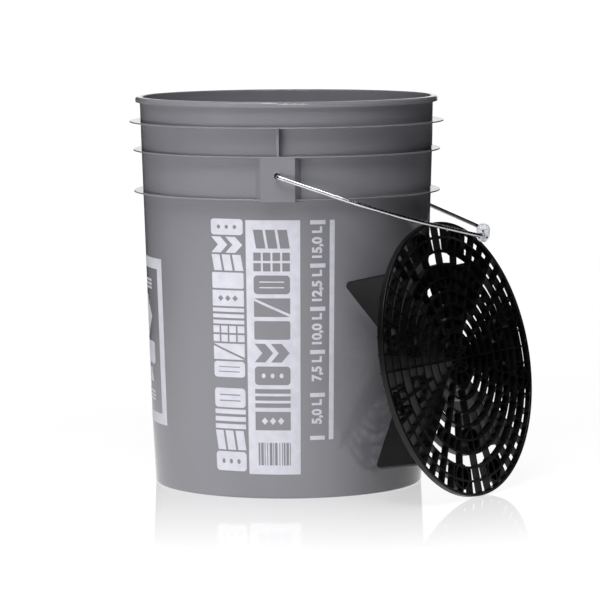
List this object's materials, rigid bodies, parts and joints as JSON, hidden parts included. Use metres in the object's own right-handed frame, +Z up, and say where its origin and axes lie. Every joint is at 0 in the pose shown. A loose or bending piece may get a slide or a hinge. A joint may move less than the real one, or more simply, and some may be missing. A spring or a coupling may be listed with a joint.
{
  "type": "wash bucket",
  "caption": "Tapered pail with stiffening flanges, a hinged wire bail with a roller grip, printed volume marks, and a vaned grit guard leaning on it.",
  "frame": {"origin": "on the floor at the middle of the pail's foot", "axes": "+Z up along the pail's axis; the bail's hinge axis is along Y, with the front ear at -Y; the bail hangs towards +X"},
  "size_m": [0.3951, 0.374, 0.38],
  "materials": {
    "pail_plastic": "satin grey polypropylene",
    "print_ink": "light grey screen print",
    "zinc_wire": "bright zinc plated",
    "grip_plastic": "translucent natural polyethylene",
    "guard_plastic": "satin black"
  },
  "bodies": {
    "pail": {"bucket_shell": "pail_plastic", "slogan_print": "print_ink", "panel_print": "print_ink", "scale_print": "print_ink", "frame_print": "print_ink"},
    "bail": {"bail_wire": "zinc_wire"},
    "grip": {"bail_grip": "grip_plastic"},
    "guard": {"guard_grille": "guard_plastic", "guard_vane_full": "guard_plastic", "guard_vane_upper": "guard_plastic", "guard_vane_lower": "guard_plastic"}
  },
  "joints": [
    {"name": "bail_swing", "type": "hinge", "parent": "pail", "child": "bail", "pos_m": [0, 0, 0.31], "axis": [0, -1, 0], "range_deg": [0, 242]},
    {"name": "grip_spin", "type": "hinge", "parent": "bail", "child": "grip", "pos_m": [0.19285, 0, 0.24472], "axis": [0, 1, 0], "continuous": true},
    {"name": "guard_walk", "type": "hinge", "parent": "pail", "child": "guard", "pos_m": [0, 0, 0], "axis": [0, 0, -1], "range_deg": [0, 290]}
  ]
}
